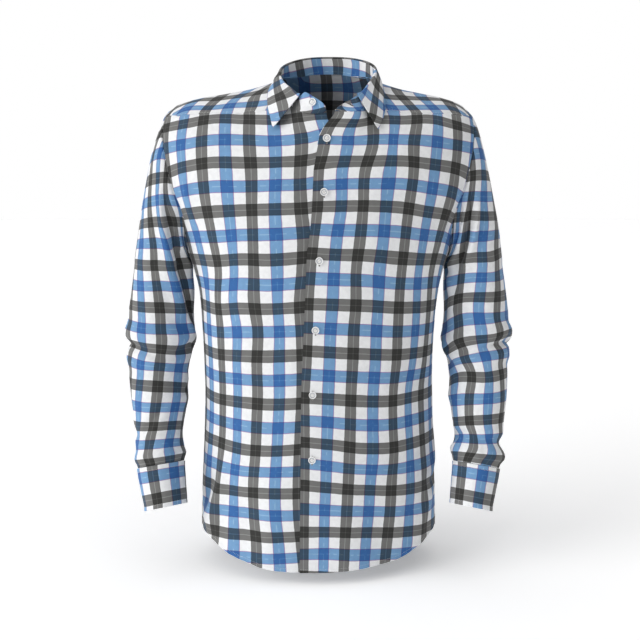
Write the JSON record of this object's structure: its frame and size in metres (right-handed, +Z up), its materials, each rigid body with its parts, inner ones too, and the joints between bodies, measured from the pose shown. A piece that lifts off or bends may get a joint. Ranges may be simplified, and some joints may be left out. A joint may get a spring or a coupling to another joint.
{
  "type": "shirt",
  "caption": "Long-sleeved button-front shirt with an open collar, cuffs, back yoke and curved hem, filled out as if worn.",
  "frame": {"origin": "middle of the neck opening at the height of the shoulder-neck points, where the wearer's neck and shoulders carry the shirt", "axes": "+X towards the wearer's left, +Y towards the back, +Z up"},
  "size_m": [0.6304, 0.2618, 0.8283],
  "materials": {
    "check_cloth": "soft brushed cotton, woven check of white, blue and grey",
    "button": "pale pearl polyester"
  },
  "bodies": {
    "root": {"front_left": "check_cloth", "front_right": "check_cloth", "back": "check_cloth", "yoke": "check_cloth", "sleeve_left": "check_cloth", "sleeve_right": "check_cloth", "cuff_left": "check_cloth", "cuff_right": "check_cloth", "placket_left": "check_cloth", "placket_right": "check_cloth", "collar_stand": "check_cloth", "collar_fall": "check_cloth", "button_collar": "button", "button_front_1": "button", "button_front_2": "button", "button_front_3": "button", "button_front_4": "button", "button_front_5": "button", "button_front_6": "button", "button_cuff_left": "button", "button_cuff_right": "button"}
  },
  "joints": []
}
